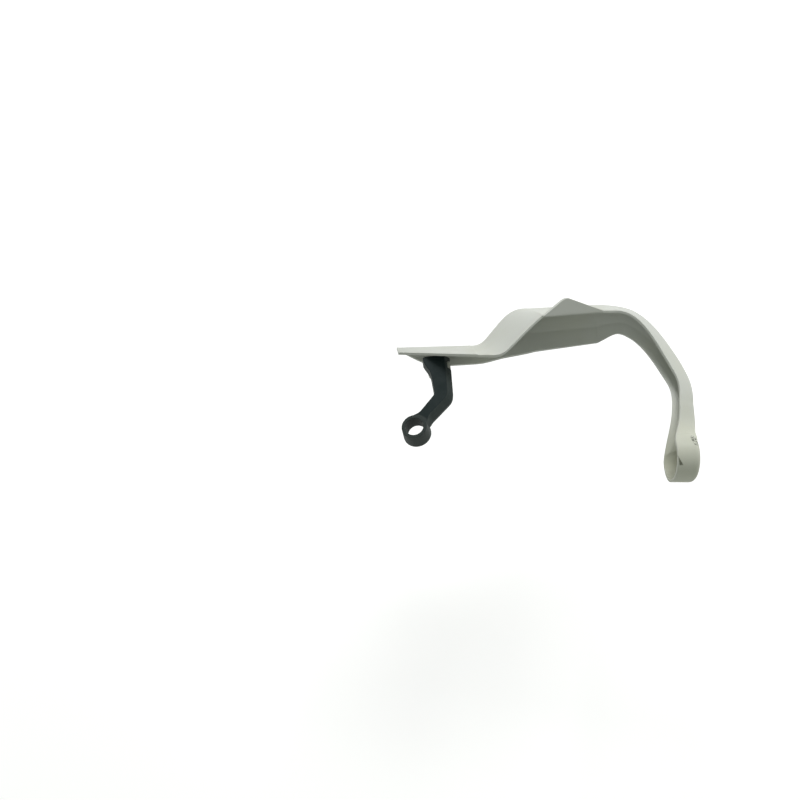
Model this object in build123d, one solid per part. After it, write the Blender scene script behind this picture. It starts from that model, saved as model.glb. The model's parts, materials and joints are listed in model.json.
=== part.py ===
from build123d import *
import os
from math import cos, radians, sin

# Frame: +X outboard across the bike, +Y forward, +Z up; origin where the bar's end face seats in the cup

# Wall of the moulding, and the rounding of its folds
wall = 2.6
nose_radius = 4.2
nose_flat = 2.0
shelf_fold_radius = 8.0
shelf_fold_place = 0.56
shelf_fold_sag = 0.07

# Slanted trim that takes the flare's shelf back to nothing at its inboard tip
tip_trim_start = (-256.0, 166.5, -12.0)
tip_trim_angle = -40.0
tip_trim_climb = 11.0
tip_trim_size = 120.0

# Peak of the flat lip that stands on the roof's upper edge
lip_peak = (-98.5, 157.0, 69.5)
lip_peak_radius = 11.0
lip_root = 1.5

# Bar-end cup: a drum round the end of the handlebar, closed outboard and faired into the strap
bar_sweep = 6.0
bar_droop = 5.0
cup_bore_radius = 21.0
cup_depth = 18.5
cup_end_wall = 5.0
cup_end_round = 6.0
fairing_start = 7.5
fairing_end = -2.0
fairing_inset = 1.5
fairing_cheek = 1.5
fairing_sink = 0.6
fairing_rim = 1.7 * wall
bar_screw_hole = 8.6

# Bracket: a flat cast arm with a tilted eye at its end
arm_top = 8.0
arm_thickness = 10.0
arm_bevel = 6.0
arm_bevel_height = 6.0
arm_front = 145.0
eye_x = -260.0
eye_y = 67.5
eye_tilt = 12.0
eye_bore = 18.5
eye_top_diameter = 25.0
eye_taper = 3.0
eye_length = 17.0

# Screw from below, its clip nut in the bracket's foot, and the lug of the shell that they clamp
screw_x = -225.5
screw_y = 135.5
screw_diameter = 6.0
screw_length = 16.5
screw_point = 0.6
screw_head_diameter = 11.0
screw_head_height = 3.6
screw_socket_width = 4.0
screw_socket_depth = 2.2
screw_hole = 6.6
lug_width = 20.0
lug_length = 29.0
lug_thickness = 9.0
lug_corner = 9.5
clip_sheet = 0.9
clip_width = 11.0
clip_lip = 2.7
clip_inner_reach = 6.0
clip_outer_reach = 12.3
clip_barrel_diameter = 8.8
clip_barrel_height = 3.0
clip_clearance = 0.2


def beside_corner(before, corner, after, step):
    """The point where both legs of a corner meet when moved sideways by one step, to the left."""
    leg_in = (corner - before).normalized()
    leg_out = (after - corner).normalized()
    side_in = Vector(-leg_in.Y, leg_in.X)
    side_out = Vector(-leg_out.Y, leg_out.X)
    middle = (side_in + side_out).normalized()
    return corner + middle * (step / middle.dot(side_in))


def inner_end(end, inner_neighbour, neighbour):
    """The point one wall inside the end of a section's leg."""
    leg = (end - neighbour).normalized()
    reach = (end - inner_neighbour).dot(leg)
    return inner_neighbour + leg * reach


class Section:
    """A cross-section of the moulding: a fold with an upper leg (shield) and a lower leg (shelf).

    It is given by the end of the upper leg, the nose of the fold and the end of the lower leg.
    """

    def __init__(self, upper, nose, lower):
        self.upper_end = Vector(*upper)
        self.lower_end = Vector(*lower)
        origin = Vector(*nose)
        along = (self.lower_end - origin).cross(self.upper_end - origin)
        self.plane = Plane(origin=origin, x_dir=Vector(0, 0, 1).cross(along), z_dir=along)
        self.top = self.flat(self.upper_end)
        self.low = self.flat(self.lower_end)
        drop = Vector(0, -shelf_fold_sag * self.low.X)
        self.fold = self.low * shelf_fold_place + drop

    def flat(self, point):
        """A point of the section, measured inward and up from the nose."""
        local = self.plane.to_local_coords(point)
        return Vector(local.X, local.Y)

    def inside(self, overrun):
        """The inner skin's corners, from the upper end to the lower end, run on at both ends."""
        nose = Vector(0, 0)
        nose_in = beside_corner(self.top, nose, self.fold, wall)
        fold_in = beside_corner(nose, self.fold, self.low, wall)
        top_in = inner_end(self.top, nose_in, nose) + self.top.normalized() * overrun
        low_in = inner_end(self.low, fold_in, self.fold) + (self.low - self.fold).normalized() * overrun
        flat_top = nose_in + (top_in - nose_in).normalized() * nose_flat
        flat_low = nose_in + (fold_in - nose_in).normalized() * nose_flat
        return [top_in, flat_top, flat_low, fold_in, low_in]

    def skin(self):
        corners = [self.top, (0, 0), self.fold, self.low]
        return FilletPolyline(*corners, radius=[nose_radius, shelf_fold_radius]).edges()

    def lining(self, overrun=0.0):
        return FilletPolyline(*self.inside(overrun), radius=[0, 0, shelf_fold_radius - wall]).edges()

    def face(self):
        inner = self.inside(0.0)
        rims = Line(self.low, inner[-1]).edges() + Line(inner[0], self.top).edges()
        return self.plane * make_face(self.skin() + self.lining() + rims)

    def filled_face(self):
        """The section's outline with its open side closed, from rim to rim."""
        inner = self.inside(0.0)
        low_rim = self.low + (inner[-1] - self.low).normalized() * fairing_rim
        top_rim = self.top + (inner[0] - self.top).normalized() * fairing_rim
        mouth = Polyline(self.low, low_rim, top_rim, self.top)
        return self.plane * make_face(self.skin() + mouth.edges())

    def room_face(self):
        """The room inside the section, run out past the rims of its open side."""
        inner = self.inside(wall)
        return self.plane * make_face(self.lining(wall) + Line(inner[-1], inner[0]).edges())


# Stations along the moulding: a point of its upper edge, of its nose and of its lower edge
tip = ((-262.5, 161.5, -4), (-262.5, 178.5, -15.5), (-262.5, 151.5, -21))
flare_end = ((-190, 120.5, 41.2), (-190, 159.5, -1.5), (-190, 138, -6.5))
roof_start = ((-123, 141, 66.5), (-123, 194.7, -0.3), (-123, 145, -8))
roof_end = ((-55, 158.5, 34.5), (-56, 185.5, 6.3), (-58, 148, -10.5))
strap_end = ((4, 59.5, 11.5), (24, 57, 1.5), (-1, 60, -7))

# The ramp climbs from the flare to the roof
ramp = [
    flare_end,
    ((-179, 113.8, 48.2), (-178, 160, 0), (-178, 137.5, -6)),
    ((-171, 110.5, 53), (-170, 167.5, 0), (-170, 138.5, -6)),
    ((-159, 116, 56), (-158, 180.5, -0.5), (-158, 141, -7)),
    ((-141, 129, 62), (-140, 194.5, -1), (-140, 143, -8)),
    roof_start,
]
ramp_steps = 10

# The strap turns the corner from the roof and runs on over its elbow
strap = [
    roof_end,
    ((-47.5, 160, 30.5), (-46, 183.3, 7.8), (-50, 150, -8.5)),
    ((-39.5, 162, 26), (-36, 180, 9), (-41, 152, -5)),
    ((-28.5, 159, 24.5), (-20.5, 173.2, 10), (-33, 150, -2.5)),
    ((-14.5, 145.5, 20.5), (-0.8, 156.2, 6), (-21, 140.5, -4)),
    ((-3, 120.5, 15.5), (15, 128.6, 1), (-8.5, 118, -6)),
    ((4.5, 96, 12.5), (24.5, 100.5, 0.5), (-1, 95, -6.5)),
    ((7.5, 80.5, 12), (27, 79, 2), (2, 80.5, -6)),
    strap_end,
]
strap_steps = 20

# The neck runs on from the strap towards the cup
neck = [
    strap_end,
    ((1.9, 50, 11.2), (22.6, 46.8, 0.9), (-3.6, 50.5, -8.2)),
    ((-1, 40, 11), (20.5, 36, 0.5), (-7, 41, -10)),
]

# Cup's own plane: local X forward, local Y up, local Z outboard along the bar
sweep = radians(bar_sweep)
droop = radians(bar_droop)
bar_axis = Vector(cos(droop) * cos(sweep), -cos(droop) * sin(sweep), -sin(droop))
cup_forward = Vector(sin(sweep), cos(sweep), 0)
cup_plane = Plane(origin=(0, 0, 0), x_dir=cup_forward, z_dir=bar_axis)


def make_rake(rim_end, height):
    """What is left off the drum's rim, which runs straight forward to the end of the neck's edge."""
    end = cup_plane.to_local_coords(rim_end)
    far = -2 * cup_depth
    corners = [(fairing_start, -cup_depth), (end.X, end.Z), (end.X, far), (fairing_start, far)]
    return extrude(Plane.XZ * make_face(Polyline(*corners, close=True)), -height)


def fairing_section(forward, height, open_side, closed_side, rims):
    """The fairing's section in the drum, with as many edges as the neck's section."""
    cheek = height - fairing_cheek
    corners = [(open_side, height), (closed_side, cheek), (closed_side, -cheek)]
    for share in (shelf_fold_place, (1 + shelf_fold_place) / 2):
        corners.append((closed_side + share * (open_side - closed_side), -cheek - share * fairing_cheek))
    corners.append((open_side, -height))
    for rim in rims:
        corners.append((open_side, rim * (height - fairing_rim)))
    plane = Plane(origin=cup_forward * forward, x_dir=-bar_axis, z_dir=cup_forward)
    return plane * make_face(Polyline(*corners, close=True))


def make_fairing(ends, inset, closed_side, deep_side, rims=()):
    """A smooth run over the neck into the drum, inside its outer skin by the inset."""
    radius = cup_bore_radius + wall - inset
    faces = list(ends)
    for forward, side in ((fairing_start, closed_side), (fairing_end, deep_side)):
        reach = (radius**2 - forward**2) ** 0.5 - fairing_sink
        faces.append(fairing_section(forward, reach, cup_depth + inset, side, rims))
    return loft(faces)


def make_cup_blank():
    radius = cup_bore_radius + wall
    drum = extrude(Pos(0, 0, -cup_depth) * Circle(radius), cup_depth + cup_end_wall)
    drum = fillet(drum.faces().sort_by(Axis.Z)[-1].edges(), cup_end_round)
    upper_end, nose_end, lower_end = neck[-1]
    drum = drum - make_rake(Vector(*upper_end), radius) - make_rake(Vector(*lower_end), -radius)
    ends = [Section(*station).filled_face() for station in neck]
    closed_side = fairing_inset - cup_end_wall
    deep_side = cup_end_round - cup_end_wall
    return cup_plane * drum + make_fairing(ends, 0, closed_side, deep_side, rims=(-1, 1))


def make_cup_room():
    """The room for the bar's end, open inboard and into the strap, and the hole for the bar's screw."""
    room = extrude(Pos(0, 0, -2 * cup_depth) * Circle(cup_bore_radius), 2 * cup_depth)
    screw_way = Cylinder(bar_screw_hole / 2, 4 * cup_end_wall)
    ends = [Section(*station).room_face() for station in neck]
    return cup_plane * (room + screw_way) + make_fairing(ends, wall, 0, 0)


arm_bottom = arm_top - arm_thickness


def make_lug():
    """The tongue of the shelf that carries the bracket's foot."""
    block = Box(lug_width, lug_length, lug_thickness)
    block = fillet(block.edges().filter_by(Axis.Z).group_by(Axis.Y)[0], lug_corner)
    return Pos(screw_x, screw_y - lug_width / 2 + lug_length / 2, arm_bottom - lug_thickness / 2) * block


def make_tip_trim():
    """What is rearward of the slanted edge at the tip, and lower than the climbing nose."""
    middle = Pos(0, -tip_trim_size / 2, -tip_trim_size / 2)
    block = middle * Box(tip_trim_size, tip_trim_size, tip_trim_size)
    return Pos(*tip_trim_start) * Rot(0, -tip_trim_climb, 0) * Rot(0, 0, tip_trim_angle) * block


def make_lip():
    """A flat plate along the roof's upper edge, kicked up to a rounded peak."""
    inboard = Vector(*roof_start[0])
    edge = Vector(*roof_end[0]) - inboard
    plane = Plane(origin=inboard, x_dir=edge, z_dir=edge.cross(Vector(*lip_peak) - inboard))
    peak = plane.to_local_coords(Vector(*lip_peak))
    rise = Vector(peak.X, peak.Y).normalized()
    fall = Vector(edge.length - peak.X, -peak.Y).normalized()
    foot_in = rise * -lip_root
    foot_out = Vector(edge.length, 0) + fall * lip_root
    outline = FilletPolyline(foot_in, (peak.X, peak.Y), foot_out, radius=lip_peak_radius)
    return plane * extrude(make_face(outline.edges() + Line(foot_out, foot_in).edges()), wall)


def make_straight(start, end):
    """A straight run of the moulding between two stations."""
    return loft([Section(*start).face(), Section(*end).face()], ruled=True)


def make_curve(stations, steps):
    """A curved run of the moulding: rails through its stations, and even sections across the rails."""
    places = [0.0]
    for before, after in zip(stations, stations[1:]):
        places.append(places[-1] + (Vector(*after[1]) - Vector(*before[1])).length)
    shares = [place / places[-1] for place in places]
    rails = []
    for places in zip(*stations):
        points = [Vector(*place) for place in places]
        rails.append(Edge.make_spline(points, parameters=shares))
    faces = []
    for step in range(steps + 1):
        section = Section(*(rail @ (step / steps) for rail in rails))
        faces.append(section.face())
    return loft(faces)


def make_shell():
    body = make_straight(tip, flare_end) - make_tip_trim()
    body = body + make_curve(ramp, ramp_steps)
    body = body + make_straight(roof_start, roof_end)
    body = body + make_lip()
    body = body + make_curve(strap, strap_steps)
    body = body + make_cup_blank() - make_cup_room()
    body = body + make_lug()
    return body - Pos(screw_x, screw_y, arm_bottom) * Cylinder(screw_hole / 2, 4 * lug_thickness)


# Arm's plan, outboard side and inboard side, from the foot to the eye, and the rounding of each corner
arm_outboard = [(-212.5, arm_front), (-212.5, 136), (-216.2, 95), (-240, 74), (-249.5, 62)]
arm_inboard = [(-262, 79), (-252.5, 82.5), (-234.2, 101.5), (-234.5, 126), (-240, 138.5), (-240, arm_front)]
arm_rounds = [2, 10, 16, 14, 1, 1, 14, 9, 16, 8, 2]

tilt = radians(eye_tilt)
eye_axis = Vector(-sin(tilt), 0, cos(tilt))
eye_plane = Plane(origin=(eye_x, eye_y, arm_top), x_dir=(cos(tilt), 0, sin(tilt)), z_dir=eye_axis)


def arm_outline(bevel):
    """The arm's plan with its outboard side moved inward by the bevel."""
    corners = [Vector(*place) for place in arm_outboard]
    moved = [corners[0] - Vector(bevel, 0)]
    for before, corner, after in zip(corners, corners[1:], corners[2:]):
        moved.append(beside_corner(before, corner, after, -bevel))
    moved.append(corners[-1])
    return make_face(FilletPolyline(*moved, *arm_inboard, radius=arm_rounds, close=True))


# Heights of the clip nut's sheets above the lug, and its ends along X
clip_lip_top = arm_bottom + clip_sheet + clip_lip
clip_sheet_top = clip_lip_top + clip_sheet
clip_barrel_top = clip_sheet_top + clip_barrel_height
clip_inboard = screw_x - clip_inner_reach
clip_outboard = screw_x + clip_outer_reach


def block(x_low, x_high, width, z_low, z_high):
    """A box along X, centred on the screw's line."""
    middle = ((x_low + x_high) / 2, screw_y, (z_low + z_high) / 2)
    return Pos(*middle) * Box(x_high - x_low, width, z_high - z_low)


def upright(diameter, z_low, z_high):
    """A cylinder on the screw's line."""
    return Pos(screw_x, screw_y, (z_low + z_high) / 2) * Cylinder(diameter / 2, z_high - z_low)


def make_clip_pocket():
    gap = clip_clearance
    outside = clip_outboard + arm_thickness
    wide = clip_width + 2 * gap
    barrel = clip_barrel_diameter + 2 * gap
    low_sheet = block(clip_inboard - gap, outside, wide, arm_bottom, arm_bottom + clip_sheet)
    high_sheet = block(clip_inboard - gap, outside, wide, clip_lip_top, clip_sheet_top + gap)
    mouth = block(clip_outboard - clip_lip, outside, wide, arm_bottom, clip_sheet_top + gap)
    barrel_way = block(screw_x, outside, barrel, clip_lip_top, clip_barrel_top + gap)
    barrel_end = upright(barrel, clip_lip_top, clip_barrel_top + gap)
    screw_slot = block(screw_x, outside, screw_hole, arm_bottom, clip_sheet_top)
    screw_end = upright(screw_hole, arm_bottom, clip_sheet_top)
    return low_sheet + high_sheet + mouth + barrel_way + barrel_end + screw_slot + screw_end


def make_clip_nut():
    """A sheet folded over the foot's lip, with a threaded barrel on its upper leg."""
    legs = block(clip_inboard, clip_outboard, clip_width, arm_bottom, clip_sheet_top)
    gap_end = clip_outboard - clip_sheet
    legs = legs - block(clip_inboard, gap_end, clip_width, arm_bottom + clip_sheet, clip_lip_top)
    legs = fillet(legs.edges().filter_by(Axis.Y).group_by(Axis.X)[-1], clip_sheet)
    legs = legs + upright(clip_barrel_diameter, clip_lip_top, clip_barrel_top)
    legs = legs - upright(screw_diameter, clip_lip_top, clip_barrel_top)
    return legs - upright(screw_hole, arm_bottom, arm_bottom + clip_sheet)


head_seat = arm_bottom - lug_thickness


def make_screw():
    shank = upright(screw_diameter, head_seat, head_seat + screw_length)
    shank = chamfer(shank.edges().group_by(Axis.Z)[-1], screw_point)
    head = upright(screw_head_diameter, head_seat - screw_head_height, head_seat)
    head = fillet(head.edges().group_by(Axis.Z)[0], screw_head_height / 2)
    socket = extrude(RegularPolygon(screw_socket_width / 2, 6, major_radius=False), screw_socket_depth)
    return shank + head - Pos(screw_x, screw_y, head_seat - screw_head_height) * socket


def make_bracket():
    bevel_foot = arm_top - arm_bevel_height
    arm = extrude(Pos(0, 0, arm_bottom) * arm_outline(0), arm_thickness - arm_bevel_height)
    faces = [Pos(0, 0, bevel_foot) * arm_outline(0), Pos(0, 0, arm_top) * arm_outline(arm_bevel)]
    arm = arm + loft(faces, ruled=True)
    eye_top = eye_top_diameter / 2
    eye = eye_plane * Pos(0, 0, -eye_length / 2) * Cone(eye_top + eye_taper / 2, eye_top, eye_length)
    bore = eye_plane * Cylinder(eye_bore / 2, 4 * eye_length)
    return arm + eye - bore - make_clip_pocket()


nodes = {
    "guard_shell": make_shell(),
    "bracket": make_bracket(),
    "bracket_screw": make_screw(),
    "clip_nut": make_clip_nut(),
}

os.makedirs("parts", exist_ok=True)
for name, solid in nodes.items():
    export_step(solid, f"parts/{name}.step")
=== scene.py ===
# %% [markdown]
# # A motorcycle hand guard
#
# The real object is a pale grey plastic moulding that folds round the rider's hand: a leaning shield with a
# shelf under it, a strap that turns the corner, and a cup that slips over the end of the handlebar. A black
# cast bracket holds its inner end. The solids come from the CAD model, in metres. They could be modelled
# again here, but their shapes are already true, so this script only gives them their surfaces, light and
# camera.

# %% Load the frame
import json
from math import cos, radians, sin

import bpy
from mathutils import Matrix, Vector


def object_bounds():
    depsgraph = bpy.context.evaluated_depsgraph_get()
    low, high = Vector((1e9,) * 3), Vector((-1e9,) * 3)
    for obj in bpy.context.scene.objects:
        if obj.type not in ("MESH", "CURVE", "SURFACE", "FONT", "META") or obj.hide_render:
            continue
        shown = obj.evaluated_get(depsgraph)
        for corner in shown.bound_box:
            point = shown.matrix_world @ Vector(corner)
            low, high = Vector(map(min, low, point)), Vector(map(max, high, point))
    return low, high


MILLIMETRE = 0.001

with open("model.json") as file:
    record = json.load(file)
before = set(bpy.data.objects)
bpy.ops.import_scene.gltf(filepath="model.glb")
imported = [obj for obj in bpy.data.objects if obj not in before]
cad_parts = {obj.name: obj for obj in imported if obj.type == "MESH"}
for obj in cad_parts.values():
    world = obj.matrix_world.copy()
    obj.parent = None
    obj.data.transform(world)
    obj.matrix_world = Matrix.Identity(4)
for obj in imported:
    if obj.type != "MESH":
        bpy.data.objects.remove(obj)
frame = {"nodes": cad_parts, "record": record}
nodes = frame["nodes"]
cad_low, cad_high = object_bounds()
print("nodes:", sorted(nodes))
print("box in mm:", [round((high - low) / MILLIMETRE, 1) for low, high in zip(cad_low, cad_high)])

# %% [markdown]
# ## A grained skin, shared by every finish
#
# No edge on the real guard is sharp, and no face is quite smooth: the moulding has the grain of its tool,
# the coat has its orange peel, and the steel its brushing. The edges could be bevelled on the meshes, but
# the CAD nodes stay as they are, so a Bevel node bends the normal near each edge, and a Bump node adds the
# grain. All the materials need both, so they go into one node group, which each material places with its
# own values.

# %% Grained skin
BEVEL_SAMPLES = 8
GRAIN_DETAIL = 3.0


def new_group(name, inputs, outputs):
    """An empty shader group with number inputs, given with their defaults, and outputs of given types."""
    group = bpy.data.node_groups.new(name, "ShaderNodeTree")
    for label, default in inputs.items():
        socket = group.interface.new_socket(label, in_out="INPUT", socket_type="NodeSocketFloat")
        socket.default_value = default
    for label, kind in outputs.items():
        group.interface.new_socket(label, in_out="OUTPUT", socket_type=kind)
    given = group.nodes.new("NodeGroupInput").outputs
    result = group.nodes.new("NodeGroupOutput").inputs
    return group, given, result


def feed(tree, socket, operand):
    """Links a socket to another, or writes a plain number or vector on it."""
    if isinstance(operand, bpy.types.NodeSocket):
        tree.links.new(operand, socket)
    else:
        socket.default_value = operand


def object_place(tree):
    """Where a point of the surface is, in the part's own frame."""
    return tree.nodes.new("ShaderNodeTexCoord").outputs["Object"]


def noise_node(tree, scale, detail, roughness=0.5):
    """Noise between 0 and 1 over the part's own frame."""
    noise = tree.nodes.new("ShaderNodeTexNoise")
    feed(tree, noise.inputs["Vector"], object_place(tree))
    feed(tree, noise.inputs["Scale"], scale)
    feed(tree, noise.inputs["Detail"], detail)
    feed(tree, noise.inputs["Roughness"], roughness)
    return noise.outputs["Fac"]


def make_skin_group():
    """The surface's normal with its edges rounded by a radius, without and with a grain of some depth."""
    defaults = {"Radius": 1.0 * MILLIMETRE, "Scale": 900.0, "Depth": 0.05 * MILLIMETRE}
    normals = {"Rounded": "NodeSocketVector", "Grained": "NodeSocketVector"}
    group, given, result = new_group("grained skin", defaults, normals)
    bevel = group.nodes.new("ShaderNodeBevel")
    bevel.samples = BEVEL_SAMPLES
    feed(group, bevel.inputs["Radius"], given["Radius"])
    bump = group.nodes.new("ShaderNodeBump")
    feed(group, bump.inputs["Strength"], 1.0)
    feed(group, bump.inputs["Distance"], given["Depth"])
    feed(group, bump.inputs["Height"], noise_node(group, given["Scale"], GRAIN_DETAIL))
    feed(group, bump.inputs["Normal"], bevel.outputs["Normal"])
    feed(group, result["Rounded"], bevel.outputs["Normal"])
    feed(group, result["Grained"], bump.outputs["Normal"])
    return group


skin_group = make_skin_group()
print("group:", skin_group.name)

# %% [markdown]
# ## Soft patches, shared by the plastic and the coat
#
# Plastic yellows and a coat rubs off in soft patches. A painted picture could show them, but it would fit
# one piece only. A noise, cut off softly at a level, does it on any surface. It is a second group, and it
# gives out only a mask: a group could hold the whole shader, but then each material would lose its own
# gloss.

# %% Soft patches
PATCH_DETAIL = 6.0
PATCH_ROUGHNESS = 0.6


def math_node(tree, operation, first, second=0.0):
    """A Math node whose operands are sockets or plain numbers."""
    node = tree.nodes.new("ShaderNodeMath")
    node.operation = operation
    feed(tree, node.inputs[0], first)
    feed(tree, node.inputs[1], second)
    return node.outputs[0]


def ramp_node(tree, value, start, end, low=0.0, high=1.0):
    """A soft step of a value: low at its start and high at its end."""
    node = tree.nodes.new("ShaderNodeMapRange")
    node.interpolation_type = "SMOOTHSTEP"
    feed(tree, node.inputs["Value"], value)
    feed(tree, node.inputs["From Min"], start)
    feed(tree, node.inputs["From Max"], end)
    feed(tree, node.inputs["To Min"], low)
    feed(tree, node.inputs["To Max"], high)
    return node.outputs["Result"]


def make_patch_group():
    """Soft patches between 0 and 1: more of them as the level falls."""
    defaults = {"Scale": 20.0, "Level": 0.5, "Spread": 0.2}
    group, given, result = new_group("soft patches", defaults, {"Mask": "NodeSocketFloat"})
    noise = noise_node(group, given["Scale"], PATCH_DETAIL, PATCH_ROUGHNESS)
    full = math_node(group, "ADD", given["Level"], given["Spread"])
    feed(group, result["Mask"], ramp_node(group, noise, given["Level"], full))
    return group


patch_group = make_patch_group()
print("group:", patch_group.name)

# %% [markdown]
# ## Scratches on the bar end
#
# The guard has been dropped on its bar end, and a patch of short dark scratches lies high on the cup. They
# could be drawn one by one, but they are too fine to be told apart. A noise that is stretched along the cup
# makes streaks, a soft ball round one point of the cup keeps them together, and a test of the normal keeps
# them out of the bore.

# %% Scratches
SCRATCH_CENTRE = Vector((3.0, 8.0, 20.5)) * MILLIMETRE
SCRATCH_SIZE = Vector((3.0, 8.0, 9.0)) * MILLIMETRE
SCRATCH_GRAIN = Vector((900.0, 600.0, 600.0))
SCRATCH_DETAIL = 4.0
SCRATCH_LEVEL = (0.49, 0.53)
BALL_FADE = (0.6, 1.1)
SKIN_FROM = 2.5 * MILLIMETRE
SKIN_TO = 4.0 * MILLIMETRE


def vector_node(tree, operation, first, second):
    """A Vector Math node whose operands are sockets or plain vectors."""
    node = tree.nodes.new("ShaderNodeVectorMath")
    node.operation = operation
    feed(tree, node.inputs[0], first)
    feed(tree, node.inputs[1], second)
    return node.outputs["Value"] if operation == "DOT_PRODUCT" else node.outputs["Vector"]


def own_normal(tree):
    """Where a face of the surface looks, in the part's own frame."""
    return tree.nodes.new("ShaderNodeTexCoord").outputs["Normal"]


def outer_side(tree):
    """1 on the cup's outer skin, which looks away from the origin on the bar, and 0 in its bore."""
    outward = vector_node(tree, "DOT_PRODUCT", own_normal(tree), object_place(tree))
    return ramp_node(tree, outward, SKIN_FROM, SKIN_TO)


def scratch_mask(tree):
    """Short scratches in a soft ball round their centre, on the outer skin only."""
    away = vector_node(tree, "SUBTRACT", object_place(tree), SCRATCH_CENTRE)
    share = vector_node(tree, "DIVIDE", away, SCRATCH_SIZE)
    near = ramp_node(tree, vector_node(tree, "DOT_PRODUCT", share, share), *BALL_FADE, 1.0, 0.0)
    streaks = tree.nodes.new("ShaderNodeTexNoise")
    feed(tree, streaks.inputs["Scale"], 1.0)
    feed(tree, streaks.inputs["Detail"], SCRATCH_DETAIL)
    feed(tree, streaks.inputs["Vector"], vector_node(tree, "MULTIPLY", object_place(tree), SCRATCH_GRAIN))
    marks = ramp_node(tree, streaks.outputs["Fac"], *SCRATCH_LEVEL)
    return math_node(tree, "MULTIPLY", math_node(tree, "MULTIPLY", near, marks), outer_side(tree))


print("scratches round", [round(c / MILLIMETRE, 1) for c in SCRATCH_CENTRE], "mm")

# %% [markdown]
# ## A chip at the rim of the cup
#
# A wedge-shaped chip starts at the cup's open rim and widens rearward. It is too shallow to change the
# outline, so it isn't cut into the mesh, and the shade that would fall in its dent is painted into it as a
# dark grey. Its mask compares two distances from its point: how far along the wedge a place lies, and how
# far off the wedge's middle line. A little noise makes its sides ragged.

# %% Chip
CHIP_POINT = Vector((-17.9, -5.0, 23.6)) * MILLIMETRE
CHIP_ALONG = Vector((0.0, -0.84, -0.54))
CHIP_ACROSS = Vector((1.0, 0.0, 0.0))
CHIP_LENGTH = 12.3 * MILLIMETRE
CHIP_FADE = 0.85
CHIP_REACH = 16.0 * MILLIMETRE
CHIP_SPREAD = 0.2
CHIP_LEAN = 0.26
CHIP_RAGGED = 0.8 * MILLIMETRE
CHIP_RAGGED_SCALE = 700.0
CHIP_RAGGED_DETAIL = 2.0
CHIP_SOFT = (-0.4 * MILLIMETRE, 0.5 * MILLIMETRE)


def length_node(tree, vector):
    """How long a vector is."""
    return math_node(tree, "SQRT", vector_node(tree, "DOT_PRODUCT", vector, vector))


def chip_shade_mask(tree):
    """A wedge that starts at its point and widens along its length, with ragged sides."""
    away = vector_node(tree, "SUBTRACT", object_place(tree), CHIP_POINT)
    along = vector_node(tree, "DOT_PRODUCT", away, CHIP_ALONG)
    across = vector_node(tree, "DOT_PRODUCT", away, CHIP_ACROSS)
    middle = math_node(tree, "MULTIPLY", along, CHIP_LEAN)
    off_middle = math_node(tree, "ABSOLUTE", math_node(tree, "SUBTRACT", across, middle))
    ragged = math_node(tree, "MULTIPLY", noise_node(tree, CHIP_RAGGED_SCALE, CHIP_RAGGED_DETAIL), CHIP_RAGGED)
    half_width = math_node(tree, "SUBTRACT", math_node(tree, "MULTIPLY", along, CHIP_SPREAD), ragged)
    wedge = ramp_node(tree, math_node(tree, "SUBTRACT", half_width, off_middle), *CHIP_SOFT)
    ends = ramp_node(tree, along, CHIP_FADE * CHIP_LENGTH, CHIP_LENGTH, 1.0, 0.0)
    near = math_node(tree, "LESS_THAN", length_node(tree, away), CHIP_REACH)
    return math_node(tree, "MULTIPLY", math_node(tree, "MULTIPLY", wedge, ends), near)


print("chip from", [round(c / MILLIMETRE, 1) for c in CHIP_POINT], "mm")

# %% [markdown]
# ## The pale grey plastic
#
# The shell is one moulding with a satin, finely grained skin. The grey isn't quite even: it has yellowed in
# patches, and most towards the bar end. Its open rims are painted paler, a painted highlight where the
# rounded edges would catch the light. One flat colour would look like a toy, and a picture would need
# unwrapping, so three masks tint the grey one after the other: ageing, the painted highlight on the rims, and
# then the marks of the fall, the chip with painted shade in it. The rims are found where the rounded normal
# leaves the face's own, and an Ambient Occlusion node leaves out the inner corners.

# %% Colours and shaders


def srgb(red, green, blue):
    """A colour as it looks on screen, 0 to 255, in the linear values that a shader takes."""
    def linear(value):
        part = value / 255
        return part / 12.92 if part <= 0.04045 else ((part + 0.055) / 1.055) ** 2.4
    return linear(red), linear(green), linear(blue)


def new_material(name, colour, roughness, specular=0.5, metallic=0.0):
    """A material with one Principled shader, returned with its tree and the shader's inputs."""
    material = bpy.data.materials.new(name)
    material.use_nodes = True
    material.diffuse_color = (*colour, 1.0)
    tree = material.node_tree
    shader = tree.nodes["Principled BSDF"].inputs
    shader["Base Color"].default_value = (*colour, 1.0)
    shader["Roughness"].default_value = roughness
    shader["Specular IOR Level"].default_value = specular
    shader["Metallic"].default_value = metallic
    return material, tree, shader


def place_group(tree, group, **values):
    """One use of a group in a material, with its own values; gives the group's outputs."""
    node = tree.nodes.new("ShaderNodeGroup")
    node.node_tree = group
    for label, value in values.items():
        node.inputs[label].default_value = value
    return node.outputs


def tint(tree, mask, base, over):
    """A colour mixed from base to over by a mask; base and over are colours or sockets."""
    mix = tree.nodes.new("ShaderNodeMix")
    mix.data_type = "RGBA"
    feed(tree, mix.inputs["Factor"], mask)
    for label, colour in (("A", base), ("B", over)):
        socket = [s for s in mix.inputs if s.name == label and s.type == "RGBA"][0]
        feed(tree, socket, (*colour, 1.0) if isinstance(colour, tuple) else colour)
    return [s for s in mix.outputs if s.type == "RGBA"][0]


def dress(node_name, material):
    """Gives a CAD node one material."""
    slots = nodes[node_name].data.materials
    slots.clear()
    slots.append(material)
    print("dressed", node_name, "in", material.name)


print("a mid grey on screen is", round(srgb(128, 128, 128)[0], 3), "to a shader")

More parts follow.
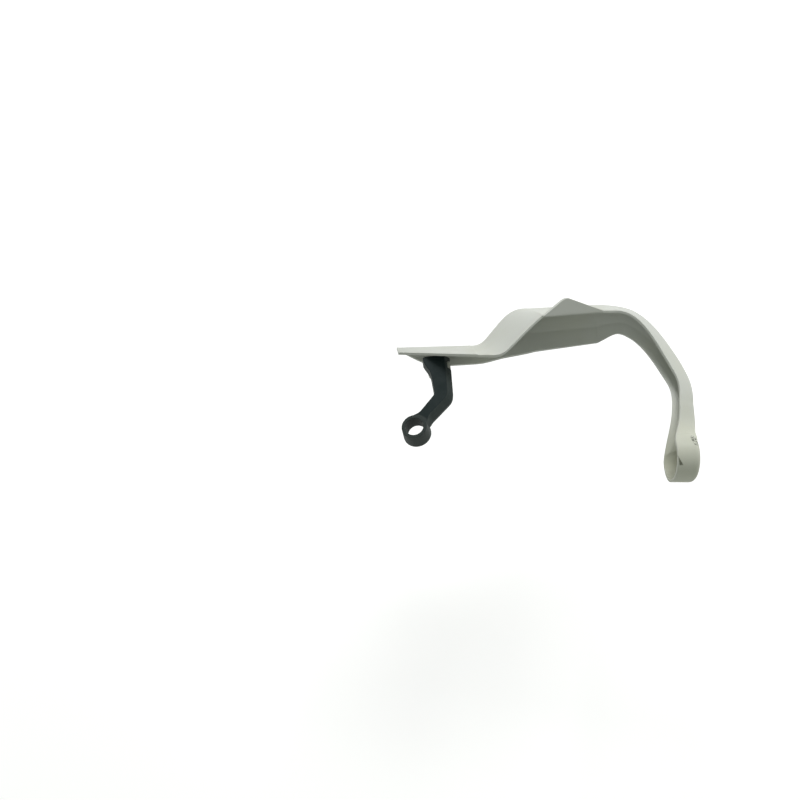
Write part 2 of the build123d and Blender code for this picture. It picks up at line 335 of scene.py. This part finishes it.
# %% Pale grey plastic
GUARD_GREY = srgb(200, 202, 196)
GUARD_AGED = srgb(199, 200, 183)
# painted highlight: the paler grey painted on the open rims
RIM_HIGHLIGHT_GREY = srgb(232, 233, 226)
SCRATCH_GREY = srgb(78, 80, 70)
# painted shade: the dark grey painted in the chip, for the shade inside its dent
CHIP_SHADE_GREY = srgb(104, 107, 92)
GUARD_EDGE_RADIUS = 1.1 * MILLIMETRE
GUARD_GRAIN_DEPTH = 0.05 * MILLIMETRE
GUARD_ROUGHNESS = (0.46, 0.56)
AGED_FROM = 75 * MILLIMETRE
AGED_TO = 15 * MILLIMETRE
AGED_AT_BAR_END = 0.65
AGED_IN_PATCHES = 0.35
RIM_TURN = (0.8, 0.98)
RIM_OPEN = (0.75, 0.95)
RIM_REACH = 4.0 * MILLIMETRE


def aged_mask(tree, patches):
    """Yellowing: some in patches, and more of it towards the bar end, which lies rearmost."""
    forward = vector_node(tree, "DOT_PRODUCT", object_place(tree), (0.0, 1.0, 0.0))
    bar_end = ramp_node(tree, forward, AGED_FROM, AGED_TO, 0.0, AGED_AT_BAR_END)
    return math_node(tree, "ADD", bar_end, math_node(tree, "MULTIPLY", patches, AGED_IN_PATCHES))


def rim_highlight_mask(tree, rounded):
    """Painted highlight on the open edges, where the rounded normal leaves the face's own and nothing is
    close by.
    """
    face = tree.nodes.new("ShaderNodeNewGeometry").outputs["Normal"]
    turned = ramp_node(tree, vector_node(tree, "DOT_PRODUCT", face, rounded), *RIM_TURN, 1.0, 0.0)
    shade = tree.nodes.new("ShaderNodeAmbientOcclusion")
    shade.samples = BEVEL_SAMPLES
    feed(tree, shade.inputs["Distance"], RIM_REACH)
    open_air = ramp_node(tree, shade.outputs["AO"], *RIM_OPEN)
    return math_node(tree, "MULTIPLY", turned, open_air)


def make_guard_plastic():
    material, tree, shader = new_material("guard_plastic", GUARD_GREY, GUARD_ROUGHNESS[0], specular=0.35)
    skin = place_group(tree, skin_group, Radius=GUARD_EDGE_RADIUS, Scale=1800.0, Depth=GUARD_GRAIN_DEPTH)
    patches = place_group(tree, patch_group, Scale=14.0, Level=0.42, Spread=0.3)["Mask"]
    colour = tint(tree, aged_mask(tree, patches), GUARD_GREY, GUARD_AGED)
    # painted highlight on the open rims
    colour = tint(tree, rim_highlight_mask(tree, skin["Rounded"]), colour, RIM_HIGHLIGHT_GREY)
    colour = tint(tree, scratch_mask(tree), colour, SCRATCH_GREY)
    # the chip, a real mark, with painted shade in it
    colour = tint(tree, chip_shade_mask(tree), colour, CHIP_SHADE_GREY)
    feed(tree, shader["Base Color"], colour)
    feed(tree, shader["Roughness"], ramp_node(tree, patches, 0.0, 1.0, *GUARD_ROUGHNESS))
    feed(tree, shader["Normal"], skin["Grained"])
    return material


dress("guard_shell", make_guard_plastic())

# %% [markdown]
# ## The bracket's black coat
#
# The bracket is a casting under a black satin powder coat, whose fine orange peel breaks up its highlights.
# Its sides and bevel are painted a greyer black than its flat top, a painted sheen for the light they catch.
# A painted mask would need a picture, so the surface's own normal makes it: the less a face looks up, the
# greyer it is painted. Within a ball round the eye it is greyer too.

# %% Black coat
COAT_BLACK = srgb(25, 36, 36)
# painted sheen: the greyer black painted on faces that don't look up, and round the eye
COAT_SHEEN_AND_EYE_GREY = srgb(72, 78, 76)
COAT_EDGE_RADIUS = 0.9 * MILLIMETRE
COAT_PEEL_DEPTH = 0.12 * MILLIMETRE
COAT_ROUGHNESS = (0.58, 0.66)
UPWARD = Vector((0.0, 0.0, 1.0))
LOOKS_UP = (0.5, 0.97)
PATCHES_KEEP = 0.75
MOUNTS = {mount["name"]: mount for mount in frame["record"]["mounts"]}
EYE_CENTRE = Vector(MOUNTS["bracket_eye"]["pos_m"])
EYE_REACH = 16.5 * MILLIMETRE
EYE_FADE = 0.9
EYE_GREYED = 0.55


def make_black_coat():
    material, tree, shader = new_material("black_coat", COAT_BLACK, COAT_ROUGHNESS[0], specular=0.12)
    skin = place_group(tree, skin_group, Radius=COAT_EDGE_RADIUS, Scale=900.0, Depth=COAT_PEEL_DEPTH)
    patches = place_group(tree, patch_group, Scale=70.0, Level=0.35, Spread=0.3)["Mask"]
    upward = vector_node(tree, "DOT_PRODUCT", own_normal(tree), UPWARD)
    # painted sheen: the less a face looks up, the greyer it is painted
    side_sheen = ramp_node(tree, upward, *LOOKS_UP, 1.0, 0.0)
    distance = length_node(tree, vector_node(tree, "SUBTRACT", object_place(tree), EYE_CENTRE))
    clamped = ramp_node(tree, distance, EYE_FADE * EYE_REACH, EYE_REACH, EYE_GREYED, 0.0)
    patchy = ramp_node(tree, patches, 0.0, 1.0, PATCHES_KEEP, 1.0)
    sheen_and_eye_grey = math_node(tree, "MULTIPLY", math_node(tree, "MAXIMUM", side_sheen, clamped), patchy)
    feed(tree, shader["Base Color"], tint(tree, sheen_and_eye_grey, COAT_BLACK, COAT_SHEEN_AND_EYE_GREY))
    feed(tree, shader["Roughness"], ramp_node(tree, patches, 0.0, 1.0, *COAT_ROUGHNESS))
    feed(tree, shader["Normal"], skin["Grained"])
    return material


dress("bracket", make_black_coat())

# %% [markdown]
# ## The screw and the clip nut
#
# The screw is plated and the clip nut is bright spring steel, a thin sheet folded over the bracket's foot.
# Only a sliver of the clip shows, so both have one even colour, set on the shader itself, and differ in how
# bright and how rough they are.

# %% Steel
PLATED_GREY = srgb(176, 178, 172)
SPRING_GREY = srgb(205, 205, 198)
STEEL_EDGE_RADIUS = 0.2 * MILLIMETRE
STEEL_GRAIN_DEPTH = 0.03 * MILLIMETRE


def make_steel(name, colour, roughness):
    material, tree, shader = new_material(name, colour, roughness, metallic=1.0)
    skin = place_group(tree, skin_group, Radius=STEEL_EDGE_RADIUS, Scale=1200.0, Depth=STEEL_GRAIN_DEPTH)
    feed(tree, shader["Normal"], skin["Grained"])
    return material


dress("bracket_screw", make_steel("plated_steel", PLATED_GREY, roughness=0.35))
dress("clip_nut", make_steel("spring_steel", SPRING_GREY, roughness=0.3))

# %% [markdown]
# ## A white stage
#
# The photograph is a plain studio shot on white. A white world and floor would also throw white light into
# the fold, where the real guard is dim. So both are white only to the camera, in reflections and through
# glass. For the light itself the world is a dim fill and the floor is a pale grey, which keeps the guard's
# shadow. The floor lies well below the guard, because a bar holds it up, and it glows more the farther off
# it lies, so that its edge melts into the white and no horizon shows.

# %% White world
FILL_HORIZON = (0.47, 0.50, 0.46)
FILL_ZENITH = (0.28, 0.295, 0.275)
FILL_TOP = 0.9
WHITE = (1.0, 1.0, 1.0)


def seen_directly(tree):
    """1 for rays from the camera, in reflections and through glass, and 0 for the light itself."""
    path = tree.nodes.new("ShaderNodeLightPath").outputs
    seen = math_node(tree, "MAXIMUM", path["Is Camera Ray"], path["Is Glossy Ray"])
    return math_node(tree, "MAXIMUM", seen, path["Is Transmission Ray"])


def make_world():
    world = bpy.data.worlds.new("studio")
    world.use_nodes = True
    tree = world.node_tree
    direction = tree.nodes.new("ShaderNodeTexCoord").outputs["Generated"]
    height = vector_node(tree, "DOT_PRODUCT", direction, UPWARD)
    fill = tint(tree, ramp_node(tree, height, 0.0, FILL_TOP), FILL_HORIZON, FILL_ZENITH)
    feed(tree, tree.nodes["Background"].inputs["Color"], tint(tree, seen_directly(tree), fill, WHITE))
    bpy.context.scene.world = world
    print("world:", world.name)


make_world()

# %% White floor
FLOOR_Z = -0.30
FLOOR_HALF = 4.0
FLOOR_GREY = 0.7
FLOOR_ROUGHNESS = 0.9
FLOOR_GLOW = 0.56
FLOOR_FADE_FROM = 0.6
FLOOR_FADE_TO = 2.2


def make_floor():
    bpy.ops.mesh.primitive_plane_add(size=2 * FLOOR_HALF, location=(0, 0, FLOOR_Z))
    floor = bpy.context.object
    floor.name = "floor"
    material, tree, _ = new_material("white_floor", (FLOOR_GREY,) * 3, FLOOR_ROUGHNESS, specular=0.0)
    away = length_node(tree, object_place(tree))
    whiteness = ramp_node(tree, away, FLOOR_FADE_FROM, FLOOR_FADE_TO, FLOOR_GLOW, 1.0)
    glow = tree.nodes.new("ShaderNodeEmission")
    feed(tree, glow.inputs["Strength"], math_node(tree, "MULTIPLY", seen_directly(tree), whiteness))
    both = tree.nodes.new("ShaderNodeAddShader")
    feed(tree, both.inputs[0], tree.nodes["Principled BSDF"].outputs["BSDF"])
    feed(tree, both.inputs[1], glow.outputs["Emission"])
    feed(tree, tree.nodes["Material Output"].inputs["Surface"], both.outputs["Shader"])
    floor.data.materials.append(material)


make_floor()
print("floor", -FLOOR_Z, "m below the bar")

# %% [markdown]
# ## Two softboxes
#
# In the photograph a large soft light hangs in front of the guard and above it: the shield's outer face is
# bright and its inside lies in its own shade. The strap is bright too, so a weaker light stands low beside
# it. A sun lamp would be simpler, but its hard shadow would cut across the fold. Square area lights give
# soft ones.

# %% Softboxes
SOFTBOX_DISTANCE = 1.6
SOFTBOX_SIZE = 0.7


def add_softbox(name, target, height, side, power):
    """A square light turned to a target, raised and swung outboard from straight ahead by two angles."""
    light = bpy.data.lights.new(name, "AREA")
    light.size = SOFTBOX_SIZE
    light.energy = power
    lamp = bpy.data.objects.new(name, light)
    bpy.context.collection.objects.link(lamp)
    rise = radians(height)
    turn = radians(side)
    towards = Vector((cos(rise) * sin(turn), cos(rise) * cos(turn), sin(rise)))
    lamp.location = target + towards * SOFTBOX_DISTANCE
    lamp.rotation_euler = towards.to_track_quat("Z", "Y").to_euler()
    print(name, "light at", [round(c, 2) for c in lamp.location])


guard_middle = (Vector(cad_low) + Vector(cad_high)) / 2
add_softbox("key", guard_middle, height=53.0, side=17.0, power=17.1)
add_softbox("side", guard_middle, height=8.0, side=75.0, power=3.6)

# %% [markdown]
# ## The camera
#
# The photograph looks down at the guard from behind the bar, at about 60 degrees, with the guard right of
# the picture's middle. The camera could be turned to the guard, but then its perspective would differ, so
# it keeps the photograph's own place, tilt and focal length, in pixels of the picture's width.

# %% Camera
PHOTO_SIZE = 800
FOCAL_PIXELS = 1300
SENSOR_WIDTH = 36.0
CAMERA_PLACE = (-0.3589, -0.5373, 1.1208)
CAMERA_TILT = 30.0
CAMERA_TURN = -8.0


def make_camera():
    data = bpy.data.cameras.new("camera")
    data.sensor_width = SENSOR_WIDTH
    data.lens = SENSOR_WIDTH * FOCAL_PIXELS / PHOTO_SIZE
    camera = bpy.data.objects.new("camera", data)
    bpy.context.collection.objects.link(camera)
    camera.location = CAMERA_PLACE
    camera.rotation_euler = (radians(CAMERA_TILT), 0, radians(CAMERA_TURN))
    bpy.context.scene.camera = camera
    print("lens of", round(data.lens, 1), "mm")


make_camera()
bpy.context.scene.view_settings.view_transform = "Standard"
